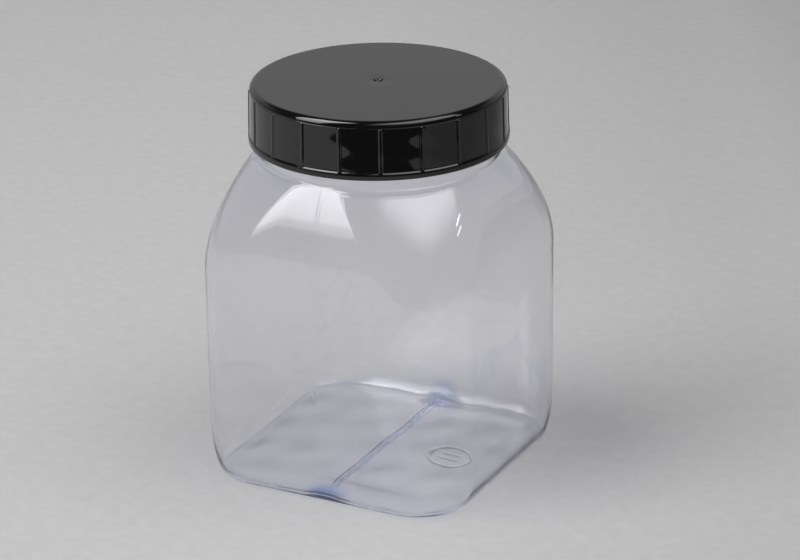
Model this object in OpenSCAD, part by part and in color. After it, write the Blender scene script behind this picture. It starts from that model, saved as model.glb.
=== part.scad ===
// Square wide-mouth specimen jar with a ribbed screw cap and a soft seal disc.
// Millimetres. +Z is up, and the origin is the middle of the face that the jar stands on.
// The jar is shown closed. Turning the cap by a full turn about +Z raises it by one thread pitch.

/* [Body] */
// Width of the square body, flat to flat
body_w = 82.2; // [78:0.2:96]
// Radius of the upright corners
corner_r = 18; // [14:0.2:24]
// Height of the rim above the standing face
jar_h = 109; // [96:0.5:150]
// Thickness of the blown side walls
wall = 0.6; // [0.5:0.1:1.6]
// Thickness of the base plate
base_t = 1.3; // [1:0.1:2]
// How far the heel draws in towards the standing face
heel_inset = 3.3; // [2:0.1:5]
// Height over which the heel draws in
heel_h = 16.8; // [10:0.2:24]
// Width of the flat ring that the jar stands on
stand_w = 2.5; // [1.5:0.1:5]
// How far the middle of the base is pushed up, clear of the table
pushup_h = 0.9; // [0.5:0.1:2]
// Distance over which the base rises from the standing ring to the pushed-up middle
pushup_w = 4; // [2:0.1:8]

/* [Shoulder] */
// Height of the shoulder, from the upright walls up to the neck
shoulder_h = 29.5; // [20:0.5:36]
// How the sides close in towards the neck (1 is a straight slope, 2 a parabola)
side_curve = 2.3; // [1.2:0.05:3]
// How the corners grow round towards the neck (1 is even, 2 is late)
corner_curve = 1.45; // [1:0.05:2.5]
// Length of the straight part that is left along each side at the top of the shoulder
top_straight = 5.4; // [2:0.2:12]
// How far the shoulder's top edge stands out of the neck, at the middle of each side
top_ledge = 0.5; // [0.2:0.1:2]

/* [Neck] */
// Outside radius of the neck between its threads
neck_r = 33.6; // [28:0.1:35]
// Thickness of the neck wall
neck_t = 1.5; // [1.2:0.1:2]
// Height of the neck, from the shoulder to the rim
neck_h = 18; // [17:0.5:26]
// Rounding of the rim's two edges
rim_round = 0.3; // [0.1:0.05:0.5]

/* [Thread] */
// Rise of the thread in one turn
thread_pitch = 5; // [4.4:0.1:6]
// Height of a tooth above the wall that carries it
tooth_h = 1; // [0.7:0.05:1.3]
// Width of a tooth at its root
tooth_root_w = 2.6; // [2:0.1:2.8]
// Width of a tooth at its crest
tooth_crest_w = 1.2; // [0.8:0.1:1.6]
// Turns of thread on the neck
neck_turns = 1.4; // [1.1:0.05:1.5]
// Turns of thread inside the cap
cap_turns = 1.2; // [1:0.05:1.4]
// Distance from the rim down to the middle of the neck thread's upper end
thread_drop = 2.4; // [2.1:0.1:3]
// Radial clearance between the neck and the cap
thread_clear = 0.3; // [0.2:0.05:0.5]
// Gap between the flanks of the closed threads
flank_gap = 0.25; // [0.15:0.05:0.4]
// Angle over which a thread's end fades into the wall
thread_fade = 18; // [10:1:40]

/* [Cap] */
// Height of the cap
cap_h = 16.3; // [15.8:0.1:18]
// Thickness of the cap's skirt
skirt_t = 1.1; // [0.9:0.1:2]
// Thickness of the cap's top plate
top_t = 1.6; // [1.2:0.1:2.4]
// Rounding of the cap's top edge
edge_r = 1.7; // [1:0.1:2.6]
// Draft: how much narrower the skirt is at the top edge than at the band
draft = 0.3; // [0:0.05:0.5]
// Rounding inside, between the top plate and the skirt
inner_edge_r = 0.8; // [0.4:0.1:1]
// Height of the plain band around the bottom of the skirt
band_h = 2.1; // [1.2:0.1:3]
// How far that band stands out of the skirt
band_proud = 0.35; // [0.1:0.05:0.8]
// Number of grip ribs
rib_count = 20; // [12:1:40]
// Width of a grip rib
rib_w = 1.1; // [0.6:0.1:1.6]
// How far a rib stands out of the skirt
rib_proud = 0.3; // [0.1:0.05:0.5]
// Distance from the cap's top down to the ribs' upper ends
rib_drop = 1.9; // [1.8:0.1:6]
// Angle of the first rib when the cap is closed
rib_phase = 10.5; // [0:0.5:18]
// Diameter of the moulding gate's dimple in the top
gate_d = 2.8; // [1.6:0.1:5]
// Depth of that dimple
gate_depth = 0.3; // [0.1:0.05:0.6]
// Diameter of the broken-off sprue left in the dimple
sprue_d = 1; // [0.5:0.1:1.4]

/* [Seal disc] */
// Thickness of the seal disc
liner_t = 1; // [0.6:0.1:2]
// Clearance between the seal disc and the skirt around it
liner_clear = 0.3; // [0.2:0.05:0.5]

/* [Mould marks] */
// Distance of the mould's parting plane from the middle of the jar
parting_x = 0.8; // [-2:0.1:2]
// Width of the pinch-off weld across the inside of the base
weld_w = 2; // [1:0.1:3]
// Height of the weld above the base
weld_rise = 0.45; // [0.2:0.05:0.8]
// Clear distance between the weld's ends and the side walls
weld_end_gap = 5; // [3:0.5:12]
// Length of the thick lump at each end of the weld
lump_w = 8; // [5:0.5:12]
// Thickness of each lump
lump_t = 2.7; // [2:0.1:3]
// Diameter of the plain mould ring under the base
mark_d = 13; // [8:0.5:18]
// Place of the mould ring's centre across the base
mark_x = 21.5; // [16:0.5:24]
// Line width of the mould ring and its bars
mark_line = 0.6; // [0.3:0.1:1.2]
// How far the mould ring stands out of the pushed-up base
mark_rise = 0.25; // [0.1:0.05:0.4]

/* [Hidden] */

$fn = 96;
// Steps in which the blown shell's outline and its rows are drawn
side_steps = 6;
corner_steps = 8;
heel_steps = 6;
shoulder_steps = 10;
// Degrees of thread to one section
thread_step = 7.5;
// How deep one solid reaches into another that it is joined to
join = 0.4;

half_w = body_w / 2;
neck_z = jar_h - neck_h;
shoulder_z = neck_z - shoulder_h;
mouth_r = neck_r - neck_t;
floor_z = base_t + pushup_h;
foot_half = half_w - heel_inset;
foot_r = corner_r - heel_inset;
base_inset = min(stand_w + pushup_w, foot_r - 1);
neck_wall_z = neck_z - wall;

cap_bore_r = neck_r + tooth_h + thread_clear;
cap_r = cap_bore_r + skirt_t;
cap_high_r = cap_r - draft;
liner_z = jar_h;
ceiling_z = jar_h + liner_t;
cap_top_z = ceiling_z + top_t;
cap_z = cap_top_z - cap_h;
band_z = cap_z + band_h;
skirt_lean = atan(draft / (cap_top_z - edge_r - band_z));

neck_thread_z = jar_h - thread_drop - neck_turns * thread_pitch;
tooth_mean_w = (tooth_root_w + tooth_crest_w) / 2;
tooth_slope = (tooth_root_w - tooth_crest_w) / 2 / tooth_h;
mesh_drop = tooth_mean_w - tooth_slope * thread_clear + flank_gap;
cap_thread_z = neck_thread_z - mesh_drop;

// ---- The blown shell ----

function turned(p, a) = [p[0] * cos(a) - p[1] * sin(a), p[0] * sin(a) + p[1] * cos(a)];

// One quarter of a rounded square: its right-hand side, then the corner that follows it.
function quarter(half, r) =
    let (straight = half - r)
    concat(
        [for (i = [0 : side_steps - 1]) [half, straight * (2 * i / side_steps - 1)]],
        [for (j = [0 : corner_steps - 1])
            let (a = 90 * j / corner_steps) [straight + r * cos(a), straight + r * sin(a)]]
    );

// A rounded square of the given half width and corner radius, counter-clockwise.
function outline(half, r) = [for (q = [0 : 3]) each [for (p = quarter(half, r)) turned(p, 90 * q)]];

function ring(half, r, z) = [for (p = outline(half, r)) [p[0], p[1], z]];

// The heel is a quarter of an ellipse. Its rows run from the standing face up to the side walls.
function heel_rows(half, r, z0) = [
    for (i = [0 : heel_steps])
        let (a = 90 - 90 * i / heel_steps, draw = heel_inset * (1 - cos(a)))
        ring(half - draw, r - draw, z0 + (heel_h - z0) * (1 - sin(a)))
];

// The shoulder's rows are rounded squares too. With height their half width falls to end_half, and
// the straight part of their sides gives way to ever larger corners.
function shoulder_rows(half, r, end_half, end_z) = [
    for (i = [0 : shoulder_steps])
        let (
            u = i / shoulder_steps,
            row_half = half - (half - end_half) * pow(u, side_curve),
            straight = (half - r) - (half - r - top_straight / 2) * pow(u, corner_curve)
        )
        ring(row_half, row_half - straight, shoulder_z + (end_z - shoulder_z) * u)
];

// A round row of the same points, for the shell's edge inside the neck's wall.
function round_row(half, radius, z) = [
    for (p = outline(half, half - top_straight / 2)) [p[0] * radius / norm(p), p[1] * radius / norm(p), z]
];

function reversed(rows) = [for (i = [len(rows) - 1 : -1 : 0]) rows[i]];

// Triangles over a stack of closed rings, with a centre point before the first and after the last.
function ring_triangles(rows, n) = concat(
    [for (j = [0 : n - 1]) [0, 1 + j, 1 + (j + 1) % n]],
    [for (i = [0 : rows - 2], j = [0 : n - 1])
        let (a = 1 + i * n + j, b = 1 + i * n + (j + 1) % n)
        each [[a, a + n, b], [b, a + n, b + n]]],
    [for (j = [0 : n - 1])
        let (last = 1 + (rows - 1) * n)
        [last + n, last + (j + 1) % n, last + j]]
);

module blown_shell() {
    end_half = neck_r + top_ledge;
    outer = concat(
        [ring(foot_half - base_inset, foot_r - base_inset, pushup_h)],
        [ring(foot_half - stand_w, foot_r - stand_w, 0)],
        heel_rows(half_w, corner_r, 0),
        shoulder_rows(half_w, corner_r, end_half, neck_z),
        [round_row(end_half, neck_r - join, neck_z)]
    );
    inner = concat(
        [ring(foot_half - base_inset, foot_r - base_inset, floor_z)],
        [ring(foot_half - stand_w, foot_r - stand_w, base_t)],
        heel_rows(half_w - wall, corner_r - wall, base_t),
        shoulder_rows(half_w - wall, corner_r - wall, end_half - wall, neck_wall_z),
        [round_row(end_half - wall, mouth_r + join, neck_wall_z)]
    );
    rows = concat(outer, reversed(inner));
    n = len(rows[0]);
    points = concat([[0, 0, pushup_h]], [for (row = rows) each row], [[0, 0, floor_z]]);
    polyhedron(points, ring_triangles(len(rows), n));
}

// ---- Threads ----

// A helical tooth. Its root lies on radius root_r, and its crest is tooth_h further along side
// (1 is outwards, -1 inwards). It starts at angle 0 and height start_z, and rises counter-clockwise.
function tooth_section(root_r, side, z, a, height) = [
    for (corner = [[-join, -1], [height, -1], [height, 1], [-join, 1]])
        let (
            r = root_r + side * corner[0],
            half = tooth_root_w / 2 - tooth_slope * corner[0]
        )
        [r * cos(a), r * sin(a), z + corner[1] * half]
];

function fade(a, end) = min(1, a / thread_fade, (end - a) / thread_fade);

module tooth_helix(root_r, side, start_z, turns) {
    end = 360 * turns;
    steps = round(end / thread_step);
    sections = [
        for (i = [0 : steps])
            let (a = end * i / steps)
            tooth_section(root_r, side, start_z + thread_pitch * a / 360, a,
                tooth_h * fade(a, end) - join / 2 * (1 - fade(a, end)))
    ];
    sides = [
        for (i = [0 : steps - 1], j = [0 : 3])
            let (a = 4 * i + j, b = 4 * i + (j + 1) % 4)
            each [[a, b, a + 4], [b, b + 4, a + 4]]
    ];
    last = 4 * steps;
    ends = [[3, 2, 1], [3, 1, 0], [last, last + 1, last + 2], [last, last + 2, last + 3]];
    faces = concat(sides, ends);
    polyhedron(
        [for (s = sections) each s],
        side > 0 ? faces : [for (f = faces) [f[2], f[1], f[0]]]
    );
}

// ---- Jar body ----

module neck_tube() {
    rotate_extrude()
        translate([mouth_r, 0])
            union() {
                translate([0, neck_wall_z]) square([neck_t, jar_h - rim_round - neck_wall_z]);
                translate([rim_round, jar_h - rim_round])
                    square([neck_t - 2 * rim_round, rim_round]);
                for (x = [rim_round, neck_t - rim_round])
                    translate([x, jar_h - rim_round]) circle(r = rim_round);
            }
}

// The pinch-off weld lies along the parting plane. Only a low round bead of it stands above the base.
module weld() {
    bead_r = (pow(weld_w / 2, 2) + pow(weld_rise, 2)) / (2 * weld_rise);
    length = 2 * (foot_half - weld_end_gap);
    intersection() {
        translate([parting_x, -length / 2, floor_z + weld_rise - bead_r])
            rotate([-90, 0, 0]) cylinder(r = bead_r, h = length);
        translate([parting_x - weld_w, -length / 2, floor_z - base_t / 2])
            cube([2 * weld_w, length, base_t / 2 + 2 * weld_rise]);
    }
}

// A thick lump where the weld runs up into the heel.
module lump(side) {
    r = lump_t / 2;
    reach = lump_w / 2 - r;
    translate([parting_x, side * (foot_half - r + join), r + join / 4]) {
        translate([-reach, 0, 0]) rotate([0, 90, 0]) cylinder(r = r, h = 2 * reach);
        for (x = [-reach, reach]) translate([x, 0, 0]) sphere(r = r);
    }
}

// A plain ring with two bars, in the place of moulded lettering.
module base_mark() {
    depth = mark_rise + join;
    translate([mark_x, 0, pushup_h - mark_rise]) {
        difference() {
            cylinder(d = mark_d, h = depth);
            translate([0, 0, -join]) cylinder(d = mark_d - 2 * mark_line, h = depth + 2 * join);
        }
        for (y = [-mark_d / 8, mark_d / 8])
            translate([-mark_d / 5, y - mark_line / 2, 0])
                cube([2 * mark_d / 5, mark_line, depth]);
    }
}

module jar_body() {
    color([0.72, 0.73, 0.80, 0.5])
        union() {
            blown_shell();
            neck_tube();
            tooth_helix(neck_r, 1, neck_thread_z, neck_turns);
            weld();
            for (side = [-1, 1]) lump(side);
            base_mark();
        }
}

// ---- Screw cap ----

module cap_profile() {
    height = ceiling_z - cap_z;
    difference() {
        union() {
            polygon([
                [0, cap_z], [cap_r, cap_z], [cap_r, band_z],
                [cap_high_r - edge_r * (1 - cos(skirt_lean)),
                    cap_top_z - edge_r * (1 - sin(skirt_lean))],
                [0, cap_top_z - edge_r]
            ]);
            translate([0, cap_z]) square([cap_high_r - edge_r, cap_h]);
            translate([cap_high_r - edge_r, cap_top_z - edge_r]) circle(r = edge_r);
            translate([0, cap_z]) square([cap_r + band_proud, band_h]);
        }
        translate([0, cap_z - join]) square([cap_bore_r, height + join - inner_edge_r]);
        translate([0, cap_z - join]) square([cap_bore_r - inner_edge_r, height + join]);
        translate([cap_bore_r - inner_edge_r, ceiling_z - inner_edge_r]) circle(r = inner_edge_r);
    }
}

// A rib leans in with the skirt's draft, and its upper end is chamfered.
module grip_rib() {
    r = rib_w / 2;
    foot_z = cap_z + band_h / 2;
    length = cap_top_z - rib_drop - r - foot_z;
    translate([cap_r + rib_proud - r, 0, foot_z]) rotate([0, -skirt_lean, 0]) {
        cylinder(r = r, h = length);
        translate([0, 0, length]) cylinder(r1 = r, r2 = r / 2, h = r);
    }
}

module gate_dimple() {
    difference() {
        translate([0, 0, cap_top_z - gate_depth]) cylinder(d = gate_d, h = 2 * gate_depth);
        translate([0, 0, cap_top_z - 2 * gate_depth]) cylinder(d = sprue_d, h = 2 * gate_depth);
    }
}

module screw_cap() {
    color([0.05, 0.05, 0.055])
        difference() {
            union() {
                rotate_extrude() cap_profile();
                for (i = [0 : rib_count - 1])
                    rotate([0, 0, rib_phase + 360 * i / rib_count]) grip_rib();
                tooth_helix(cap_bore_r, -1, cap_thread_z, cap_turns);
            }
            gate_dimple();
        }
}

// ---- Seal disc ----

module cap_liner() {
    rounding = inner_edge_r;
    color([0.93, 0.93, 0.91])
        rotate_extrude()
            translate([0, liner_z])
                difference() {
                    square([cap_bore_r - liner_clear, liner_t]);
                    translate([cap_bore_r - liner_clear - rounding, liner_t - rounding])
                        difference() {
                            square(2 * rounding);
                            circle(r = rounding);
                        }
                }
}

jar_body();
screw_cap();
cap_liner();
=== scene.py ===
# %% [markdown]
# # A clear square jar with a black screw cap
#
# The jar has three pieces: a blown clear body, a moulded black cap, and a thin foam seal inside
# the cap. Their plain solids come in as the frame. Each is rebuilt here as a finer surface, with
# the fillets, seam, weld and ripples that a solid model leaves out, and gets its own finish.

# %% The frame
import math

import bpy
import numpy as np
from mathutils import Matrix, Vector


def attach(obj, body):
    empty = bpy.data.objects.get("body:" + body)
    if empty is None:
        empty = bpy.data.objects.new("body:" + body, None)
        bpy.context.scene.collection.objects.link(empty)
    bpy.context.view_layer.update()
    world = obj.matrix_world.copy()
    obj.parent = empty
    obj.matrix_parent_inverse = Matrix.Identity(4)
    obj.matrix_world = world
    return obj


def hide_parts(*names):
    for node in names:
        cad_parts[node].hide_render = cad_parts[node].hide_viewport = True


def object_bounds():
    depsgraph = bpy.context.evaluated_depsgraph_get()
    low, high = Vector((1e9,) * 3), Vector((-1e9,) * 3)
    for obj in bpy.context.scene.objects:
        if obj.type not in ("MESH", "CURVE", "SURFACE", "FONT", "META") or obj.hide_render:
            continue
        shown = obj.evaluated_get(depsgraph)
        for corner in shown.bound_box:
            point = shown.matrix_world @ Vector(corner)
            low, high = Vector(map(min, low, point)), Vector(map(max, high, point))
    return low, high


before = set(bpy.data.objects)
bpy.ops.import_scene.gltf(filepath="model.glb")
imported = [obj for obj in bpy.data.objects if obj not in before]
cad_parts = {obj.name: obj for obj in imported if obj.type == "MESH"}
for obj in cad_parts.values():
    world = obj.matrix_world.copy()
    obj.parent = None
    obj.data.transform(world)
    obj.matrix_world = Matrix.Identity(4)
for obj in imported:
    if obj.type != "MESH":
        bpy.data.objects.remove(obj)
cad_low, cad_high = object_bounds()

mm = 0.001
cad_size = cad_high - cad_low
print("the solids measure", [round(side / mm, 2) for side in cad_size], "mm")

# %% [markdown]
# ## Sizes
#
# Every level section of the body is a square with rounded corners. Two numbers describe it: the
# corner radius, and half the length of the straight part of its sides. Round the base, the heel
# and the wall the straight part keeps its length, and only the corner radius shrinks in the heel.
# Over the shoulder the straight part gives way to larger and larger corners, until the section is
# nearly round at the neck. The box of the solids gives the width and the closed height, and the
# other sizes are the maker's.

# %% Sizes of the body
half_width = cad_size.x / 2
jar_height = 109 * mm
corner_radius = 18 * mm
straight = half_width - corner_radius
wall = 0.5 * mm
base_thickness = 1.3 * mm
thin_base = 0.6 * mm
heel_inset = 3.3 * mm
heel_height = 16.8 * mm
inner_inset = 3.5 * mm
inner_height = 15.5 * mm
stand_width = 1.5 * mm
pushup_width = 8 * mm
pushup_height = 0.9 * mm
foot_radius = corner_radius - heel_inset

shoulder_start = 61.5 * mm
side_curve = 2.3
corner_curve = 1.45
top_straight = 2.7 * mm
top_half = 34.1 * mm
side_climb = 0.022

neck_radius = 33.6 * mm
mouth_radius = 32.1 * mm
neck_bottom = 91 * mm
neck_foot = 93.4 * mm
inner_foot = neck_foot - 0.8 * mm
neck_wall = 0.9 * mm
mouth_flare = 0.5 * mm
rim_rounding = 0.3 * mm
uneven_rise = 0.08 * mm
ripple_share = 0.0008
print("the corners of the body have a radius of", round(corner_radius / mm, 1), "mm")

# %% Sizes of the thread, the cap and the seal
pitch = 5 * mm
tooth_height = 1 * mm
root_width = 2.6 * mm
crest_width = 1.2 * mm
neck_turns = 1.4
cap_turns = 1.2
thread_fade = math.radians(18)
thread_foot = 97.6 * mm
neck_thread_start = 99.6 * mm
cap_thread_start = 97.66 * mm

cap_top = cad_high.z
cap_bottom = 95.3 * mm
cap_radius = 36 * mm
cap_draft = 0.3 * mm
cap_bore = 34.9 * mm
ceiling = 110 * mm
seal_bottom = 109 * mm
seal_radius = 34.6 * mm
print("the closed cap takes in", round((jar_height - cap_bottom) / mm, 1), "mm of the neck")

# %% Where the mould left its marks
parting = 0.8 * mm
seam_depth = 0.06 * mm
weld_width = 2 * mm
weld_rise = 0.45 * mm
ridge_place = weld_width / 2 - 0.2 * mm
ridge_width = 0.35 * mm
lump_place = 36 * mm
lump_rise = 1.3 * mm
lump_across, lump_along, lump_up = 5.2 * mm, 3 * mm, 6 * mm
thick_shift, thick_reach = 3 * mm, 15 * mm
mark_centre = 21.5 * mm
mark_radius = 6.2 * mm
mark_rise = 0.25 * mm
mark_line = 0.32 * mm
print("the parting line lies", round(parting / mm, 1), "mm beside the middle")

# %% [markdown]
# ## Small helpers
#
# Every surface below is a grid: a table of points with rows and columns. It could be modelled by
# hand and smoothed with modifiers, but then no length in it would be known exactly. So numpy works
# out the whole table at once, and one helper turns it into faces. Blender wants the points as one
# long list, which foreach_set copies in a single step.


# %% Helpers for shapes
def stops(*stretches):
    """Positions along a line. Each stretch is (start, end, step), and starts where the last one
    ended; the steps in it are equal and as near to the wanted step as they can be."""
    pieces = []
    for start, end, step in stretches:
        count = max(1, round(abs(end - start) / step))
        pieces.append(np.linspace(start, end, count, endpoint=False))
    return np.append(np.concatenate(pieces), stretches[-1][1])


def bump(distance, width):
    """A smooth bell: 1 at distance 0, and about a third at distance = width."""
    return np.exp(-((distance / width) ** 2))


def step_up(value, start, end):
    """0 before start, 1 after end, and a smooth S between: 3t^2 - 2t^3."""
    t = np.clip((value - start) / (end - start), 0, 1)
    return t * t * (3 - 2 * t)


def new_piece(name, points, faces):
    """A smooth-shaded mesh object from an array of points and an array of four-cornered or
    three-cornered faces; a face whose last corner is -1 has three corners."""
    mesh = bpy.data.meshes.new(name)
    sides = np.where(faces[:, 3] < 0, 3, 4)
    corners = faces[faces >= 0]
    mesh.vertices.add(len(points))
    mesh.vertices.foreach_set("co", points.astype(np.float32).ravel())
    mesh.loops.add(len(corners))
    mesh.loops.foreach_set("vertex_index", corners.astype(np.int32))
    mesh.polygons.add(len(faces))
    starts = np.concatenate([[0], np.cumsum(sides)[:-1]])
    mesh.polygons.foreach_set("loop_start", starts.astype(np.int32))
    mesh.polygons.foreach_set("use_smooth", np.ones(len(faces), bool))
    mesh.update(calc_edges=True)
    mesh.validate()
    obj = bpy.data.objects.new(name, mesh)
    bpy.context.scene.collection.objects.link(obj)
    triangles = int((sides - 2).sum())
    print(name, "has", len(points), "points and", triangles, "triangles")
    return obj


def tube_faces(rows, columns):
    """Faces between the rows of a grid whose columns close into a ring."""
    i, j = np.meshgrid(np.arange(rows - 1), np.arange(columns), indexing="ij")
    a, b = i * columns + j, i * columns + (j + 1) % columns
    return np.stack([a, b, b + columns, a + columns], -1).reshape(-1, 4)


def turned_piece(name, rings, angle, first_height, last_height, from_top):
    """A piece of rings round the axis. rings holds each ring's radius and height, per ring or per
    ring and column, and a point is (r cos a, r sin a, z). A fan of triangles round a point on the
    axis closes each end. Rings that start at the top have their faces turned the other way."""
    r, z = np.broadcast_arrays(*rings, angle)[:2]
    rows = np.stack([r * np.cos(angle), r * np.sin(angle), z], -1)
    count, ring = r.shape
    ends = [[0, 0, first_height], [0, 0, last_height]]
    points = np.concatenate([rows.reshape(-1, 3), ends])
    j = np.arange(ring)
    k = (j + 1) % ring
    sides = tube_faces(count, ring)
    if from_top:
        j, k, sides = k, j, sides[:, ::-1]
    first, last_ring = count * ring, (count - 1) * ring
    none = np.full(ring, -1)
    faces = np.concatenate([
        np.stack([np.full(ring, first), k, j, none], -1),
        sides,
        np.stack([np.full(ring, first + 1), last_ring + j, last_ring + k, none], -1),
    ])
    return new_piece(name, points, faces)


# %% [markdown]
# ## The camera
#
# The camera looks down on the jar from the front right with a long lens, which keeps the upright
# edges nearly parallel. It could be aimed with a Track To constraint, but it leans a little and
# the jar stands off the centre, so its three directions are worked out and put into its matrix.


# %% Camera
def direction(azimuth, elevation):
    """Unit vector towards a place in the studio. Azimuth 0 is straight in front of the jar's
    front side (-Y) and grows to the right (+X); both angles are in degrees."""
    a, e = math.radians(azimuth), math.radians(elevation)
    return Vector((math.sin(a) * math.cos(e), -math.cos(a) * math.cos(e), math.sin(e)))


view_azimuth, view_elevation, view_roll = 27.56, 22.013, -0.83
view_distance = 0.90221
sensor_width, focal_length = 36, 143.09
aim = Vector((0, 0, 46.8 * mm))
pan_right, pan_up = 5.18 * mm, 4.97 * mm

back = direction(view_azimuth, view_elevation)
level = Vector((0, 0, 1)).cross(back).normalized()
upright = back.cross(level)
roll = math.radians(view_roll)
right = level * math.cos(roll) + upright * math.sin(roll)
up = upright * math.cos(roll) - level * math.sin(roll)

camera = bpy.data.objects.new("camera", bpy.data.cameras.new("camera"))
camera.data.sensor_width = sensor_width
camera.data.lens = focal_length
camera.data.clip_start, camera.data.clip_end = 0.05, 50
turn_matrix = Matrix((right, up, back)).transposed()
place = aim + back * view_distance + right * pan_right + up * pan_up
camera.matrix_world = Matrix.Translation(place) @ turn_matrix.to_4x4()
bpy.context.scene.collection.objects.link(camera)
bpy.context.scene.camera = camera
print("the camera stands at", [round(v, 4) for v in place])

# %% [markdown]
# ## Materials
#
# A material is a tree of nodes that link to each other. A few helpers make the node, set its
# sockets and link it in one line, so that each finish below reads as its own recipe. Patterns
# read Object coordinates, in metres, because they stay with the piece when it moves.


# %% Helpers for materials
def tree_of(name):
    """A new material with an empty node tree, and that tree."""
    material = bpy.data.materials.new(name)
    material.use_nodes = True
    material.node_tree.nodes.clear()
    return material, material.node_tree


def add(tree, kind, inputs=None, **settings):
    """A new node. inputs gives its sockets by name or number: a value is set on the socket, and
    another node's output is linked to it."""
    node = tree.nodes.new(kind)
    for key, value in settings.items():
        setattr(node, key, value)
    for key, value in (inputs or {}).items():
        if isinstance(value, bpy.types.NodeSocket):
            tree.links.new(value, node.inputs[key])
        else:
            node.inputs[key].default_value = value
    return node


def object_noise(tree, scale, detail=2.0, squeeze=(1, 1, 1)):
    """Noise on Object coordinates. scale is in waves per metre, and squeeze stretches it."""
    place = add(tree, "ShaderNodeTexCoord").outputs["Object"]
    mapped = add(tree, "ShaderNodeMapping", {"Vector": place, "Scale": squeeze}).outputs[0]
    noise = add(tree, "ShaderNodeTexNoise", {"Vector": mapped, "Scale": scale, "Detail": detail})
    return noise.outputs["Fac"]


def between(tree, value, low, high, start=0.3, end=0.7):
    """A number that runs from low to high as value runs from start to end."""
    sockets = {"Value": value, "From Min": start, "From Max": end, "To Min": low, "To Max": high}
    return add(tree, "ShaderNodeMapRange", sockets).outputs["Result"]


def reckon(tree, operation, *values):
    """The result of a Math node on one, two or three values."""
    return add(tree, "ShaderNodeMath", dict(enumerate(values)), operation=operation).outputs[0]


def blend_colours(tree, share, first, second):
    """The first colour where share is 0, the second where it is 1, and a mix between."""
    sockets = {"Factor": share, "A": first, "B": second}
    return add(tree, "ShaderNodeMix", sockets, data_type="RGBA").outputs["Result"]


def fine_relief(tree, height, strength, distance):
    """A normal that feigns a fine relief: distance is its full height in metres."""
    sockets = {"Height": height, "Strength": strength, "Distance": distance}
    return add(tree, "ShaderNodeBump", sockets).outputs["Normal"]


def finish_tree(tree, surface, volume=None):
    """Links the finished shader to the material's output."""
    output = add(tree, "ShaderNodeOutputMaterial", {"Surface": surface})
    if volume is not None:
        tree.links.new(volume, output.inputs["Volume"])


# %% [markdown]
# ## Paper
#
# The jar stands on a sheet of pale grey paper that runs far back, so that no edge shows. A curved
# studio sweep would do as well, but the screen of the room's light already takes over behind the
# sheet. The grey is slightly mottled, and is painted darker to the right: painted shade for the
# light that falls off away from the lamp, darkest far to the right.


# %% Paper sheet
def paper_material():
    """Pale grey paper: a slightly mottled grey times two falls of painted shade to the right, and
    a fine grain that catches the light."""
    material, tree = tree_of("grey_paper")
    mottle = between(tree, object_noise(tree, 260, 3), 0.51, 0.6, 0.0, 1.0)
    place = add(tree, "ShaderNodeTexCoord").outputs["Object"]
    to_right = add(tree, "ShaderNodeVectorMath", {0: place, 1: level}, operation="DOT_PRODUCT")
    way = to_right.outputs["Value"]
    # painted shade: the grey darkens to the right, where the light falls off, and more so far right
    painted_shade_right = between(tree, way, 1.0, 0.87, 0.0, 0.11)
    far = between(tree, way, 1.0, 0.58, 0.14, 0.3)
    mottled_grey_and_painted_shade = reckon(tree, "MULTIPLY", mottle, painted_shade_right)
    paper = add(
        tree,
        "ShaderNodeBsdfPrincipled",
        {
            "Base Color": reckon(tree, "MULTIPLY", mottled_grey_and_painted_shade, far),
            "Roughness": 0.85,
            "Specular IOR Level": 0.2,
            "Normal": fine_relief(tree, object_noise(tree, 900, 2), 0.25, 0.3 * mm),
        },
    )
    finish_tree(tree, paper.outputs["BSDF"])
    return material


def paper_sheet(front, reach):
    """A sheet that runs far back and to both sides, and ends at a distance in front of the jar,
    square to the view."""
    ahead = Vector((back.x, back.y)).normalized()
    across = Vector((-ahead.y, ahead.x))
    corners = [(front, -reach), (front, reach), (-reach, reach), (-reach, -reach)]
    points = np.array([[*(ahead * a + across * c), 0] for a, c in corners])
    return new_piece("paper_sheet", points, np.array([[0, 1, 2, 3]]))


sheet_front, sheet_reach = 0.32, 6
floor = paper_sheet(sheet_front, sheet_reach)
floor.data.materials.append(paper_material())

# %% [markdown]
# ## Lights
#
# Clear plastic and black gloss have little colour of their own to show, so what matters is what
# they mirror. A tall soft box to the left in front draws the bright window on the shoulder and
# the line round the cap. A wide panel hangs high on the right and greys the cap's top, and a
# narrow strip at the right draws two short glints. Plain area lamps would mirror as flat white
# patches, so each lamp here gets a slope from end to end, and edges that die out.


# %% Soft boxes
def soft_box(name, place, aim_at, spin, width, height, levels, fades):
    """A glowing rectangle at place that faces aim_at. levels are what a mirror would show of its
    lower and upper ends, and fades the shares of its sides over which it dies out: left, right,
    bottom and top. Its power is pi times its area, so that a level of 1 mirrors as 1."""
    light = bpy.data.lights.new(name, "AREA")
    light.shape = "RECTANGLE"
    light.size, light.size_y = width, height
    light.energy = math.pi * width * height
    light.use_nodes = True
    tree = light.node_tree
    tree.nodes.clear()
    where = add(tree, "ShaderNodeNewGeometry").outputs["Parametric"]
    split = add(tree, "ShaderNodeSeparateXYZ", {0: where})
    glow = between(tree, split.outputs["Y"], *levels, 0.0, 1.0)
    left, right_side, bottom, top = fades
    edges = [("X", 0, left), ("X", 1, -right_side), ("Y", 0, bottom), ("Y", 1, -top)]
    for axis, edge, fade in edges:
        if fade:
            share = between(tree, split.outputs[axis], 0.0, 1.0, edge, edge + fade)
            glow = reckon(tree, "MULTIPLY", glow, share)
    lamp_glow = add(tree, "ShaderNodeEmission", {"Strength": glow})
    output = add(tree, "ShaderNodeOutputLight")
    tree.links.new(lamp_glow.outputs[0], output.inputs["Surface"])
    lamp = bpy.data.objects.new(name, light)
    away = (place - aim_at).normalized()
    turn = away.to_track_quat("Z", "Y").to_matrix().to_4x4()
    lean = Matrix.Rotation(math.radians(-spin), 4, "Z")
    lamp.matrix_world = Matrix.Translation(place) @ turn @ lean
    bpy.context.scene.collection.objects.link(lamp)
    print(name, "hangs at", [round(v, 3) for v in place])


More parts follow.
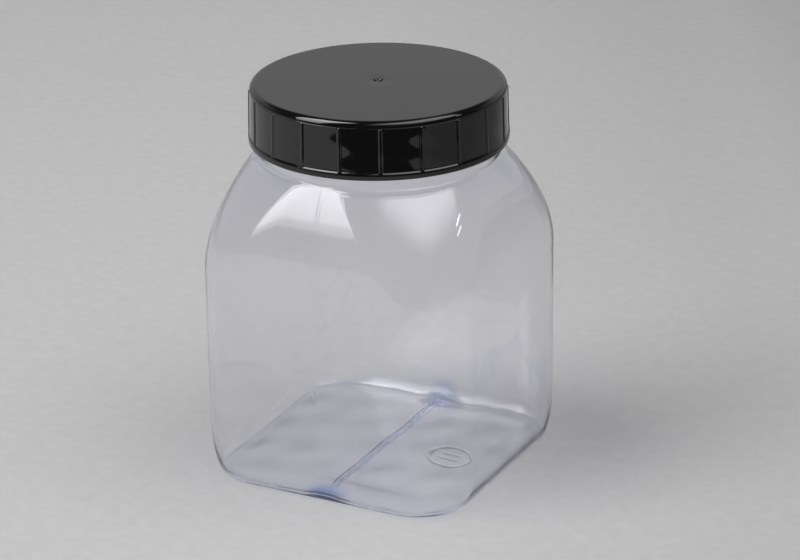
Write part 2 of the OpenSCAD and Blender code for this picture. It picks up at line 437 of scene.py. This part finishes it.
jar_middle = Vector((0, 0, 60 * mm))
soft_box(
    "key_box",
    jar_middle + direction(-42.5, 44) * 1.9,
    jar_middle,
    spin=-13,
    width=0.89,
    height=2.5,
    levels=(2.1, 7.9),
    fades=(0, 0, 0.055, 0.05),
)
soft_box(
    "small_box",
    jar_middle + direction(107, 32) * 1.2,
    jar_middle,
    spin=80,
    width=0.04,
    height=0.13,
    levels=(10, 10),
    fades=(0, 0, 0, 0),
)
panel_rise = 1.3
panel_place = jar_middle + panel_rise * Vector((0.73, -0.17, 1))
soft_box(
    "panel",
    panel_place,
    panel_place - Vector((0, 0, 1)),
    spin=0,
    width=1.26 * panel_rise,
    height=1.4 * panel_rise,
    levels=(2.75, 2.1),
    fades=(0.5, 0.1, 0.08, 0.4),
)

# %% [markdown]
# ## Room
#
# A pale screen stands behind the jar, and the rest of the room is dark. It could be built of
# walls, but a world that depends on direction does the same with less to render. Light Path tells
# it apart: what is seen straight, or through the clear body, is the plain screen, and what is
# mirrored is the screen with its fading edges.


# %% Room
screen_level = 0.5


def studio_world():
    """The room's light by direction. A pale screen stands behind the jar and fades out upwards
    and to the sides, and the rest of the room is dark. What is seen straight, or through clear
    plastic, is the plain screen."""
    world = bpy.data.worlds.new("studio")
    world.use_nodes = True
    tree = world.node_tree
    tree.nodes.clear()
    bpy.context.scene.world = world
    ray = add(tree, "ShaderNodeTexCoord").outputs["Generated"]
    screen_way = direction(180 + view_azimuth, 0)
    facing = add(tree, "ShaderNodeVectorMath", {0: ray, 1: screen_way}, operation="DOT_PRODUCT")
    behind = between(tree, facing.outputs["Value"], 0.0, 1.0, 0.1, 0.75)
    climb = add(tree, "ShaderNodeSeparateXYZ", {0: ray}).outputs["Z"]
    low = between(tree, climb, 1.0, 0.0, 0.48, 0.6)
    share = reckon(tree, "MULTIPLY", behind, low)
    glow = between(tree, share, 0.06, screen_level, 0.0, 1.0)
    path = add(tree, "ShaderNodeLightPath").outputs
    straight_on = reckon(tree, "MAXIMUM", path["Is Camera Ray"], path["Is Transmission Ray"])
    sockets = {"Factor": straight_on, "A": glow, "B": screen_level}
    seen = add(tree, "ShaderNodeMix", sockets, data_type="FLOAT")
    background = add(
        tree,
        "ShaderNodeBackground",
        {"Color": (0.98, 0.98, 1.0, 1), "Strength": seen.outputs["Result"]},
    )
    output = add(tree, "ShaderNodeOutputWorld")
    tree.links.new(background.outputs[0], output.inputs["Surface"])


studio_world()
print("the screen behind the jar glows at", screen_level)

# %% [markdown]
# ## The body's columns
#
# The body is blown in a mould, as one skin of clear plastic. A cube with bevels and a Solidify
# modifier comes near it, but its corners and its wall would be too even. So it is laid out as
# rows and columns, with an outside and an inside of their own.
#
# Seen from above, every row of the body is the same loop of columns. On a straight part a column
# keeps its share of the length, and round a corner it keeps its angle. The columns stand close
# together where something fine crosses them: at the mould's parting line and over the ring mark
# under the base. The base inside the loop is a net of crossing lines that starts from the same
# columns, so nothing has to be stitched.

# %% Columns
quarter_turn = math.pi / 4
corner_lines = 22


def lines_across(middle, corner_before, corner_after):
    """Columns over one side from corner to corner: their place along the flat part, and their
    turn from the side's own direction round the corners."""
    before = np.linspace(-quarter_turn, 0, corner_before, endpoint=False)
    after = np.linspace(0, quarter_turn, corner_after + 1)[1:]
    along = np.concatenate(
        [np.full(corner_before, -straight), middle, np.full(corner_after, straight)]
    )
    turn = np.concatenate([before, np.zeros(len(middle)), after])
    return along, turn


wide, fine = 1.2 * mm, 0.4 * mm
seam_near, seam_far = parting - 1.6 * mm, parting + 1.8 * mm
front_lines = lines_across(
    stops(
        (-straight, parting - 6 * mm, wide),
        (parting - 6 * mm, seam_near, 0.7 * mm),
        (seam_near, seam_far, 0.2 * mm),
        (seam_far, parting + 6 * mm, 0.7 * mm),
        (parting + 6 * mm, mark_centre - 7 * mm, wide),
        (mark_centre - 7 * mm, straight, fine),
    ),
    corner_lines,
    corner_lines,
)
side_lines = lines_across(
    stops((-straight, -7 * mm, wide), (-7 * mm, 7 * mm, fine), (7 * mm, straight, wide)),
    corner_lines,
    corner_lines,
)

fx, fy = len(front_lines[0]) - 1, len(side_lines[0]) - 1
columns = 2 * (fx + fy)
column_along = np.concatenate(
    [front_lines[0][:-1], side_lines[0][:-1], front_lines[0][:0:-1], side_lines[0][:0:-1]]
)
column_turn = np.concatenate(
    [front_lines[1][:-1], side_lines[1][:-1], front_lines[1][:0:-1], side_lines[1][:0:-1]]
)
outward = np.repeat([[0, -1], [1, 0], [0, 1], [-1, 0]], [fx, fy, fx, fy], axis=0)
sideways = np.abs(outward[:, ::-1])
print("a row of the body has", columns, "columns")


def outline(radius, flat=straight):
    """Rounded squares, from one radius a row or one a column; flat is half the straight part of
    a side. A column's point lies flat + radius * cos(turn) outwards, and
    share * flat + radius * sin(turn) to the side."""
    out = flat + radius * np.cos(column_turn)
    across = flat * column_along / straight + radius * np.sin(column_turn)
    return out[..., None] * outward + across[..., None] * sideways


def with_height(xy, z):
    """Adds heights to an array of flat points."""
    return np.concatenate([xy, np.broadcast_to(z, xy.shape[:-1])[..., None]], -1)


# %% [markdown]
# ## Heel, wall and shoulder
#
# On the real jar the heel is where the wall bends into the base, and the shoulder is where the
# square closes in to the round neck. Subdivision would smooth both, but it can't hold a given
# height and width, so each is a formula.
#
# The heel is a quarter of an ellipse. Over the shoulder the rounded square's half width falls by
# a power of the height, and the straight part of its sides by a smaller power, so the corners
# start to swell before the sides lean in. A small fillet leads the last row to the round neck.
# The inside has the same shape, one wall further in.


# %% Rows of the blown wall
flat_angle = np.arctan2(*outline(top_half - top_straight, top_straight)[:, ::-1].T)


def heel_rows(radius, inset, rise, count=13):
    """A quarter ellipse per column: the row draws in by inset * (1 - cos a), and its height is
    rise * (1 - sin a), from a = 90 degrees at the foot to 0."""
    a = np.linspace(math.pi / 2, 0, count)[:, None]
    return with_height(outline(radius - inset * (1 - np.cos(a))), rise * (1 - np.sin(a)))


def wall_rows(radius, count=9):
    """The upright walls."""
    z = np.linspace(heel_height, shoulder_start, count + 1)[1:-1, None]
    return with_height(outline(np.full_like(z, radius)), z)


def shoulder_rows(inset, end_inset, end_height, count):
    """With u the share of the height, the half width is half - (half - top_half) * u^side_curve,
    and half the straight part is straight - (straight - top_straight) * u^corner_curve. inset
    moves the whole surface in, and grows to end_inset near the neck. Over the middle of a side
    the rows run on a little higher, until they meet the neck."""
    middle = (1 + np.cos(4 * flat_angle)) / 2
    u = np.linspace(0, 1, count)[:, None] ** 0.9 * (1 + side_climb * middle)
    half = half_width - (half_width - top_half) * u**side_curve
    flat = straight - (straight - top_straight) * u**corner_curve
    depth = inset + (end_inset - inset) * u**4
    z = shoulder_start + (end_height - shoulder_start) * u
    return with_height(outline(half - depth - flat, flat), z)


def foot_rows(last, radius, top, count=6):
    """From the shoulder's last row to a round row at height top. In each column the way in goes
    with sin b, and the way up with 1 - cos b, as in a fillet."""
    b = np.linspace(0, math.pi / 2, count + 1)[1:, None]
    goal = radius * np.stack([np.cos(column_angle), np.sin(column_angle)], -1)
    xy = last[:, :2] + (goal - last[:, :2]) * np.sin(b)[..., None]
    return with_height(xy, last[:, 2] + (top - last[:, 2]) * (1 - np.cos(b)))


column_angle = flat_angle % (2 * math.pi)


def ring_rows(radius, z):
    """Round rows. radius and z are given per row, or per row and column."""
    radius = np.broadcast_to(np.asarray(radius, float), (len(z), columns))
    xy = np.stack([radius * np.cos(column_angle), radius * np.sin(column_angle)], -1)
    return with_height(xy, z)


# %% [markdown]
# ## Thread
#
# A thread is a tooth that climbs by one pitch a turn. It could be a swept strip that is joined to
# the neck, but then the joint would show in clear plastic. So the neck's radius is raised
# instead: at each height and angle, the nearest turn's tooth says by how much.


# %% Thread profile
def tooth(z, angle, start, turns):
    """Height of the thread at z and angle. Its middle is at start + pitch * angle / 360 degrees,
    for the nearest turn. The tooth is flat on its crest, slopes to its root, and fades out at
    both ends."""
    turn = np.round((z - start) / pitch - angle / (2 * math.pi))
    swept = angle + 2 * math.pi * turn
    off = np.abs(z - start - pitch * swept / (2 * math.pi))
    profile = np.clip((root_width / 2 - off) / ((root_width - crest_width) / 2), 0, 1)
    end = 2 * math.pi * turns
    ends = step_up(swept, 0, thread_fade) * (1 - step_up(swept, end - thread_fade, end))
    return tooth_height * profile * profile * (3 - 2 * profile) * ends


def neck_outside():
    """The neck from its foot to the rim's edge, with its thread."""
    z = stops(
        (neck_foot, thread_foot, 1.4 * mm),
        (thread_foot, jar_height - rim_rounding, 0.5 * mm),
    )[1:, None]
    raised = tooth(z, column_angle[None, :], neck_thread_start, neck_turns)
    return ring_rows(neck_radius + raised, z)


def neck_rim():
    """The rim: a quarter circle, a flat top and another quarter circle."""
    a = np.linspace(0, math.pi / 2, 5)[1:]
    r = np.concatenate([
        neck_radius - rim_rounding * (1 - np.cos(a)),
        mouth_radius + rim_rounding * (1 - np.sin(a - a[0])),
    ])
    z = jar_height - rim_rounding * np.concatenate([1 - np.sin(a), 1 - np.cos(a - a[0])])
    return ring_rows(r[:, None], z[:, None])


# %% [markdown]
# ## Base
#
# The jar stands on a ring, and the middle of its base is pushed up. Inside, the two halves of the
# blown tube were pinched together and left a weld across the base, with a thick lump at each end.
# The weld and the lumps could be pieces of their own, but surfaces inside clear plastic show. So
# they are heights that are added to the inside of the base. On the real jar the underside has
# moulded lettering. A plain ring with two bars takes its place.

# %% Base shapes
base_edge = foot_radius - stand_width - pushup_width


def base_net():
    """The base's flat net of lines. A Coons patch fills the loop of columns: the sum of the two
    blends between opposite edges, less the blend of the four corners."""
    loop = outline(base_edge)
    front = loop[: fx + 1]
    right_edge = loop[fx : fx + fy + 1]
    rear = loop[fx + fy : 2 * fx + fy + 1][::-1]
    left = np.concatenate([loop[2 * fx + fy :], loop[:1]])[::-1]
    corner = front[-1, 0]
    u = ((front[:, 0] / corner + 1) / 2)[None, :, None]
    v = ((right_edge[:, 1] / right_edge[-1, 1] + 1) / 2)[:, None, None]
    along = (1 - v) * front[None] + v * rear[None]
    across = (1 - u) * left[:, None] + u * right_edge[:, None]
    square = (
        (1 - u) * (1 - v) * front[0] + u * (1 - v) * front[-1]
        + (1 - u) * v * rear[0] + u * v * rear[-1]
    )
    return along + across - square


def weld_height(points):
    """Two low ridges side by side along the parting plane, with a shallow groove between them:
    weld_rise * (0.8 * two bells + 0.3 * a flat band). They end in the heel."""
    off = np.abs(points[..., 0] - parting)
    ridges = bump(off - ridge_place, ridge_width)
    band = 1 - step_up(off, ridge_place, weld_width / 2 + 0.2 * mm)
    ends = 1 - step_up(np.abs(points[..., 1]), 33 * mm, 37 * mm)
    low = 1 - step_up(points[..., 2], 4 * mm, 6 * mm)
    return weld_rise * (0.8 * ridges + 0.3 * band) * ends * low


def lump_height(points):
    """A thick oval lump at each end of the weld: lump_rise * exp(-|across|^3 - along^2 - up^2)."""
    x, y, z = points[..., 0], points[..., 1], points[..., 2]
    across = (x - parting) / lump_across
    along = (np.abs(y) - lump_place) / lump_along
    up = z / lump_up
    return lump_rise * np.exp(-(across**2) ** 1.5 - along**2 - up**2)


def ring_mark(x, y):
    """A raised ring with two bars in it, each a bell across its line."""
    x, y = x - mark_centre, np.abs(y)
    ring = bump(np.hypot(x, y) - mark_radius, mark_line)
    bars = bump(y - 1.6 * mm, mark_line) * (1 - step_up(np.abs(x), 2.2 * mm, 2.9 * mm))
    return mark_rise * np.maximum(ring, bars)


def base_rows(foot, stand, count=11):
    """Rows from the pushed-up middle down to the standing ring, along a smooth S, and over it to
    the heel."""
    slope = np.linspace(0, 1, count)[:, None]
    radius = base_edge + slope * (foot - stand - base_edge)
    rows = with_height(outline(radius), pushup_height * (1 - step_up(slope, 0, 1)))
    ring = with_height(outline(np.linspace(radius[-1], foot, 5)[1:-1]), 0)
    return np.concatenate([rows, ring])


def floor_lift(points):
    """How much higher the inside of the base lies than its underside: thin_base, plus a bell
    over the weld that fades towards its ends, plus a sum of three slow waves. All of it dies out
    in the heel."""
    x, y, z = points[..., 0], points[..., 1], points[..., 2]
    thick = thin_base + (base_thickness - thin_base) * (
        bump(x - parting - thick_shift, thick_reach)
        * (1 - 0.8 * step_up(np.abs(y), 24 * mm, 34 * mm))
    )
    uneven = (
        np.sin(x / (2.3 * mm) + 1.4 * np.sin(y / (5.1 * mm)))
        + np.sin(y / (2.7 * mm) - x / (7.3 * mm) + 0.8) + np.sin((x + y) / (3.9 * mm) + 2.0)
    )
    in_heel = np.clip(1 - z / heel_height, 0, 1)
    return (thick + uneven_rise * uneven * in_heel**3) * in_heel


# %% [markdown]
# ## The shell
#
# Where the mould's halves met, a fine line runs up the front and the back of the real jar. Its
# wall is also thinner in some places than in others, which bends what is seen through it. A bump
# in the material can't bend it so, and therefore both are moved in the mesh itself: the line on
# the outside, and slow waves on the inside.


# %% Seam and ripples
def mould_seam(rows):
    """Sinks the outside a little along the parting plane, with a fine raised line in it:
    seam_depth * (a narrow bell - a wide bell)."""
    x, y = rows[..., 0], rows[..., 1]
    off = np.abs(x - parting)
    depth = seam_depth * (bump(off, 0.25 * mm) - bump(off, 0.7 * mm))
    rows[..., 1] += np.sign(y) * depth * step_up(np.abs(y), 20 * mm, 30 * mm)
    return rows


def ripple(rows):
    """Thickness of the blown wall varies gently: a sum of slow waves moves the inside."""
    x, y, z = rows[..., 0], rows[..., 1], rows[..., 2]
    angle = np.arctan2(y, x)
    wave = (
        np.sin(3 * angle + z / (19 * mm)) + 0.7 * np.sin(7 * angle - z / (11 * mm) + 1.3)
        + 0.45 * np.sin(13 * angle + z / (27 * mm) + 2.1) + 0.3 * np.sin(z / (4.3 * mm) + 2 * angle)
    )
    share = step_up(z, 12 * mm, 24 * mm) * (1 - step_up(z, 80 * mm, 92 * mm))
    rows[..., :2] *= (1 - ripple_share * wave * share)[..., None]
    return rows


# %% Outside, inside and base
def body_shell():
    """The rows of the wall, from the underside up to the rim and down again inside, and the
    base's two nets."""
    shoulder = shoulder_rows(0, 0, neck_bottom, 26)
    outside = np.concatenate([
        base_rows(foot_radius, stand_width),
        heel_rows(corner_radius, heel_inset, heel_height),
        wall_rows(corner_radius),
        shoulder,
        foot_rows(shoulder[-1], neck_radius, neck_foot),
        neck_outside(),
    ])
    shoulder = shoulder_rows(wall, neck_wall, neck_bottom - neck_wall, 22)
    way_in = np.array([[0.4], [0.2], [0]]) * mm
    way_up = np.array([[94], [98], [102]]) * mm
    inside = np.concatenate([
        base_rows(corner_radius - wall - inner_inset, stand_width),
        heel_rows(corner_radius - wall, inner_inset, inner_height, 17),
        wall_rows(corner_radius - wall),
        shoulder,
        foot_rows(shoulder[-1], mouth_radius + mouth_flare, inner_foot, 5),
        ring_rows(mouth_radius + way_in, way_up),
    ])
    outside, inside = mould_seam(outside), ripple(inside)
    net = base_net()
    x, y = net[..., 0], net[..., 1]
    under = np.stack([x, y, pushup_height - ring_mark(x, y)], -1)
    over = np.stack([x, y, np.full_like(x, pushup_height)], -1)
    for points in (inside, over):
        points[..., 2] += floor_lift(points)
        points[..., 2] += weld_height(points) + lump_height(points)
    rows = np.concatenate([outside, neck_rim(), inside[::-1]])
    return rows, under, over


# %% One closed mesh
def loop_numbers():
    """Numbers of the net's edge points, in the order of the columns."""
    grid = np.arange((fx + 1) * (fy + 1)).reshape(fy + 1, fx + 1)
    return grid, np.concatenate([grid[0, :-1], grid[:-1, -1], grid[-1, :0:-1], grid[:0:-1, 0]])


def net_faces(grid):
    """Faces of a net of point numbers."""
    corners = [grid[:-1, :-1], grid[:-1, 1:], grid[1:, 1:], grid[1:, :-1]]
    return np.stack(corners, -1).reshape(-1, 4)


def build_body():
    """Joins the two nets and the rows into one closed mesh. The first and last rows are the
    nets' own edges."""
    rows, under, over = body_shell()
    grid, edge = loop_numbers()
    inner_rows = rows[1:-1]
    start = grid.size
    count = len(inner_rows)
    over_start = start + count * columns
    numbers = np.concatenate([
        edge[None],
        start + np.arange(count * columns).reshape(count, columns),
        over_start + edge[None],
    ])
    after = np.roll(numbers, -1, axis=1)
    sides = np.stack([numbers[:-1], after[:-1], after[1:], numbers[1:]], -1).reshape(-1, 4)
    faces = np.concatenate([net_faces(grid)[:, ::-1], sides, over_start + net_faces(grid)])
    points = np.concatenate([under.reshape(-1, 3), inner_rows.reshape(-1, 3), over.reshape(-1, 3)])
    return new_piece("clear_body", points, faces)


body = build_body()

# %% [markdown]
# ## Clear plastic
#
# The real body is a clear plastic with a trace of violet-blue in it, which shows only where the
# light goes a long way through it: at the weld, the lumps and the edges. A tinted surface would
# colour thin and thick alike, so most of the tint is in the volume, and the surface gets a
# little more at the weld, where the mesh can't be as thick as the real lumps look. Cycles sends
# no light from lamps through glass without caustics, so for shadow rays and for the light that
# reaches the floor the body turns into a plain see-through sheet.


# %% Clear plastic
# the second colour is painted shade: a greyer tint for the plastic over the shoulder
wall_colour, painted_shoulder_shade = (0.99, 0.99, 0.995, 1), (0.955, 0.955, 0.972, 1)
bluest = (0.62, 0.72, 0.93, 1)
see_through = (0.965, 0.965, 0.975, 1)
depth_tint, tint_density = (0.42, 0.46, 0.90, 1), 50.0


def clear_plastic():
    """Clear plastic of index 1.6 with a faint violet-blue tint that shows where it is thick. It
    is dull under the base, and its colour is painted slightly greyer over the shoulder: painted
    shade for the light that the shoulder mirrors away."""
    material, tree = tree_of("clear_plastic")
    place = add(tree, "ShaderNodeTexCoord").outputs["Object"]
    split = add(tree, "ShaderNodeSeparateXYZ", {0: place})
    height = split.outputs["Z"]
    under = between(tree, height, 0.2, 0.16, 1.0 * mm, 1.3 * mm)
    low = between(tree, height, 1.0, 0.0, 2.6 * mm, 4 * mm)
    cloud = between(tree, object_noise(tree, 90, 3), 0.0, 0.03)
    # painted shade: the colour turns greyer over the shoulder, for the light it mirrors away there
    upper = between(tree, height, 0.0, 1.0, 64 * mm, 84 * mm)
    colour = blend_colours(tree, upper, wall_colour, painted_shoulder_shade)
    for side in (-1, 1):
        lump = (parting, side * lump_place, 2 * mm)
        off = add(tree, "ShaderNodeVectorMath", {0: place, 1: lump}, operation="DISTANCE")
        near = between(tree, off.outputs["Value"], 1.0, 0.0, 3 * mm, 7 * mm)
        colour = blend_colours(tree, near, colour, bluest)
    off_weld = reckon(tree, "ABSOLUTE", reckon(tree, "SUBTRACT", split.outputs["X"], parting))
    off_ridge = reckon(tree, "ABSOLUTE", reckon(tree, "SUBTRACT", off_weld, ridge_place))
    near = between(tree, off_ridge, 0.9, 0.0, 0.25 * mm, 0.6 * mm)
    colour = blend_colours(tree, reckon(tree, "MULTIPLY", near, low), colour, bluest)
    streaks = object_noise(tree, 160, 2, (1, 1, 0.12))
    plastic = add(
        tree,
        "ShaderNodeBsdfPrincipled",
        {
            "Base Color": colour,
            "Roughness": reckon(tree, "MULTIPLY_ADD", under, low, cloud),
            "IOR": 1.6,
            "Transmission Weight": 1.0,
            "Normal": fine_relief(tree, streaks, 0.05, 0.2 * mm),
        },
    )
    clear = add(tree, "ShaderNodeBsdfTransparent", {"Color": see_through}).outputs[0]
    path = add(tree, "ShaderNodeLightPath").outputs
    surface = plastic.outputs["BSDF"]
    for ray in ("Is Diffuse Ray", "Is Shadow Ray"):
        sockets = {0: path[ray], 1: surface, 2: clear}
        surface = add(tree, "ShaderNodeMixShader", sockets).outputs[0]
    tint = add(tree, "ShaderNodeVolumeAbsorption", {"Color": depth_tint, "Density": tint_density})
    finish_tree(tree, surface, tint.outputs[0])
    return material


body.data.materials.append(clear_plastic())
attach(body, "jar")
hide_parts("jar_body")

# %% [markdown]
# ## Screw cap
#
# The real cap is moulded in one piece, with its ribs, thread and gate mark. Its ribs could be an
# array of bars on a turned body, but on the real one they rise out of the skirt without a joint.
# So the cap is one profile carried round its axis. Its radius is raised where a grip rib stands,
# and inside it is lowered by the thread.

# %% Sizes and columns of the cap
rib_count = 20
rib_phase = math.radians(10.5)
rib_half = 0.55 * mm
rib_proud = 0.3 * mm
edge_rounding = 1.7 * mm
rib_top = cap_top - 1.9 * mm
band_top = cap_bottom + 2.1 * mm
band_proud = 0.35 * mm
band_lip = 0.35 * mm
ledge_drop = 0.3 * mm
crease = 0.05 * mm
bore_entry = 0.3 * mm
bore_corner = 0.8 * mm
bore_plain = 106.5 * mm
waviness = 0.025 * mm
nub_drop = 0.02 * mm

rib_reach = math.radians(1.25)
between_ribs = 2 * math.pi / rib_count
one_rib = np.concatenate([
    np.linspace(-rib_reach, rib_reach, 10, endpoint=False),
    np.linspace(rib_reach, between_ribs - rib_reach, 12, endpoint=False),
])
cap_angle = (rib_phase + between_ribs * np.arange(rib_count)[:, None] + one_rib).ravel()
print("a ring of the cap has", len(cap_angle), "columns, and", rib_count, "ribs")


# %% Shapes of the cap
def rib_height(z, angle):
    """How far the grip ribs stand out: a rounded ridge, with a rounded upper end, that runs down
    into the band."""
    off = (angle - rib_phase + between_ribs / 2) % between_ribs - between_ribs / 2
    across = off * cap_radius / rib_half
    above = np.maximum(z - (rib_top - rib_half), 0) / rib_half
    return rib_proud * np.sqrt(np.clip(1 - across**2 - above**2, 0, 1))


def skirt_radius(z):
    """The skirt's draft: its radius grows evenly from the rounded edge down to the band."""
    high = cap_top - edge_rounding
    return cap_radius - cap_draft * (z - band_top) / (high - band_top)


def quarter_arc(centre_r, centre_z, radius, start, end, count):
    """Points (r, z) on an arc, for angles in degrees; both ends are in it."""
    a = np.radians(np.linspace(start, end, count))
    return np.stack([centre_r + radius * np.cos(a), centre_z + radius * np.sin(a)], -1)


# %% Profile of the cap
def gate_profile():
    """The middle of the top: the gate's small nub in a ring-shaped dip, then the flat top."""
    radius = [0.25, 0.42, 0.52, 0.6, 0.75, 1.05, 1.25, 1.38, 1.46, 1.7, 6, 18, 31, 33.4]
    height = [-0.02, -0.03, -0.08, -0.24, -0.3, -0.3, -0.26, -0.1, -0.02, 0, 0, 0, 0, 0]
    return np.stack([radius, height], -1) * mm + [0, cap_top]


def cap_profile():
    """Radius and height over the top, down the skirt, over the ledge of the band, round the lower
    edge, up the bore and back along the ceiling. Every row of it becomes a ring."""
    band = cap_radius + band_proud
    round_radius = cap_radius - cap_draft - edge_rounding
    round_height = cap_top - edge_rounding
    skirt_z = stops(
        (round_height - 0.1 * mm, rib_top + 0.02 * mm, 0.1 * mm),
        (rib_top + 0.1 * mm, rib_top - 0.6 * mm, 0.07 * mm),
        (rib_top - 0.6 * mm, band_top + 0.4 * mm, 0.8 * mm),
    )
    bore_z = stops(
        (cap_bottom + 0.8 * mm, bore_plain, 0.35 * mm), (bore_plain, seal_bottom, 0.8 * mm)
    )
    ledge = [
        [cap_radius + 0.04 * mm, band_top],
        [cap_radius + 0.06 * mm, band_top - 0.015 * mm],
        [band - 0.015 * mm, band_top - ledge_drop],
        [band, band_top - ledge_drop - 0.02 * mm],
        [band, cap_bottom + 1.2 * mm],
        [band, cap_bottom + 0.6 * mm],
    ]
    return np.concatenate([
        gate_profile(),
        quarter_arc(round_radius, round_height, edge_rounding, 90, 0, 15),
        np.stack([skirt_radius(skirt_z), skirt_z], -1),
        quarter_arc(cap_radius + crease, band_top + crease, crease, 180, 270, 3)[:2],
        ledge,
        quarter_arc(band - band_lip, cap_bottom + band_lip, band_lip, 0, -90, 6),
        quarter_arc(cap_bore + bore_entry, cap_bottom + bore_entry, bore_entry, 270, 180, 4),
        np.stack([np.full(len(bore_z), cap_bore), bore_z], -1),
        quarter_arc(cap_bore - bore_corner, ceiling - bore_corner, bore_corner, 0, 90, 6),
        np.array([[28, 0], [14, 0], [4, 0]]) * mm + [0, ceiling],
    ])


# %% The cap's rings
def build_cap():
    """The cap's rings. On the skirt the radius is the larger of the profile's and skirt + rib,
    plus a slight wave, and in the bore it is the profile's less the thread's tooth."""
    profile = cap_profile()
    r, z = profile[:, :1], profile[:, 1:]
    angle = cap_angle[None, :]
    skirt = (z < cap_top - edge_rounding) & (z > band_top - 1 * mm) & (r > cap_bore + 0.5 * mm)
    threaded = (z > cap_bottom + 0.7 * mm) & (z < seal_bottom - 1 * mm)
    bore = (np.abs(r - cap_bore) < 1e-9) & threaded
    turned = angle % (2 * math.pi)
    wave = waviness * np.sin(z / (1.25 * mm) + 3 * np.sin(2 * angle))
    wavy = wave * np.sin(9 * angle + z / (5 * mm))
    r = np.where(skirt, np.maximum(r, skirt_radius(z) + rib_height(z, angle)) + wavy, r)
    r = r - np.where(bore, tooth(z, turned, cap_thread_start, cap_turns), 0)
    return turned_piece("black_cap", (r, z), cap_angle, cap_top - nub_drop, ceiling, from_top=True)


cap = build_cap()

# %% [markdown]
# ## Black plastic
#
# The cap's plastic is black through and through, and glossy, so nearly all that shows of it is
# what it mirrors. An image of scratches would look too worn. A low roughness that varies a
# little, a very weak relief of slow waves, and a few grey specks of dust are enough.


# %% Black plastic
deep_black, dust_grey = (0.0025, 0.0025, 0.0027, 1), (0.02, 0.02, 0.02, 1)


def black_plastic():
    """Glossy black moulded plastic. Its gloss varies a little, and the surface is very slightly
    wavy, as a moulded one is."""
    material, tree = tree_of("black_plastic")
    cloud = object_noise(tree, 70, 4)
    dust = object_noise(tree, 2600, 1)
    waves = object_noise(tree, 55, 1)
    specks = between(tree, dust, 0.0, 1.0, 0.66, 0.8)
    plastic = add(
        tree,
        "ShaderNodeBsdfPrincipled",
        {
            "Base Color": blend_colours(tree, specks, deep_black, dust_grey),
            "Roughness": between(tree, cloud, 0.03, 0.06),
            "IOR": 1.5,
            "Specular IOR Level": 0.66,
            "Normal": fine_relief(tree, waves, 0.1, 0.4 * mm),
        },
    )
    finish_tree(tree, plastic.outputs["BSDF"])
    return material


cap.data.materials.append(black_plastic())
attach(cap, "cap")
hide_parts("screw_cap")

# %% [markdown]
# ## Seal
#
# A disc of pressed foam lies against the cap's ceiling, and the jar's rim has pressed a shallow
# groove into it. It shows only when the cap is off. A flat cylinder with a bevel would do, but
# for the groove, so it is a profile carried round the axis, as the cap is.


# %% Seal disc
seal_columns = 180


def build_seal():
    """A thin disc with rounded edges and the rim's groove, as rings round the axis."""
    rounding = 0.35 * mm
    radius = [2, 12, 24, 31.4, 32.0, 33.6, 34.1]
    height = [0, 0, 0, 0, 0.08, 0.08, 0]
    rings = np.concatenate([
        np.stack([radius, height], -1) * mm + [0, seal_bottom],
        quarter_arc(seal_radius - rounding, seal_bottom + rounding, rounding, -90, 0, 6),
        quarter_arc(seal_radius - rounding, ceiling - rounding, rounding, 0, 90, 6),
        np.array([[24, 0], [12, 0], [2, 0]]) * mm + [0, ceiling],
    ])
    angle = np.linspace(0, 2 * math.pi, seal_columns, endpoint=False)
    rings = rings[:, :1], rings[:, 1:]
    return turned_piece("foam_seal", rings, angle, seal_bottom, ceiling, from_top=False)


# %% Pressed foam
pale_foam, dusky_foam = (0.88, 0.88, 0.86, 1), (0.80, 0.80, 0.77, 1)


def foam():
    """White pressed foam: matt, with fine closed cells."""
    material, tree = tree_of("pressed_foam")
    cells = object_noise(tree, 1400, 2)
    disc = add(
        tree,
        "ShaderNodeBsdfPrincipled",
        {
            "Base Color": blend_colours(tree, object_noise(tree, 120, 2), dusky_foam, pale_foam),
            "Roughness": between(tree, cells, 0.6, 0.8),
            "Normal": fine_relief(tree, cells, 0.4, 0.15 * mm),
        },
    )
    finish_tree(tree, disc.outputs["BSDF"])
    return material


seal = build_seal()
seal.data.materials.append(foam())
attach(seal, "seal")
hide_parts("cap_liner")

# %% [markdown]
# ## Look
#
# The Standard view shows a colour as it is written. Filmic views would soften the highlights,
# but grey the paper and the black as well.

# %% Look
bpy.context.scene.view_settings.view_transform = "Standard"
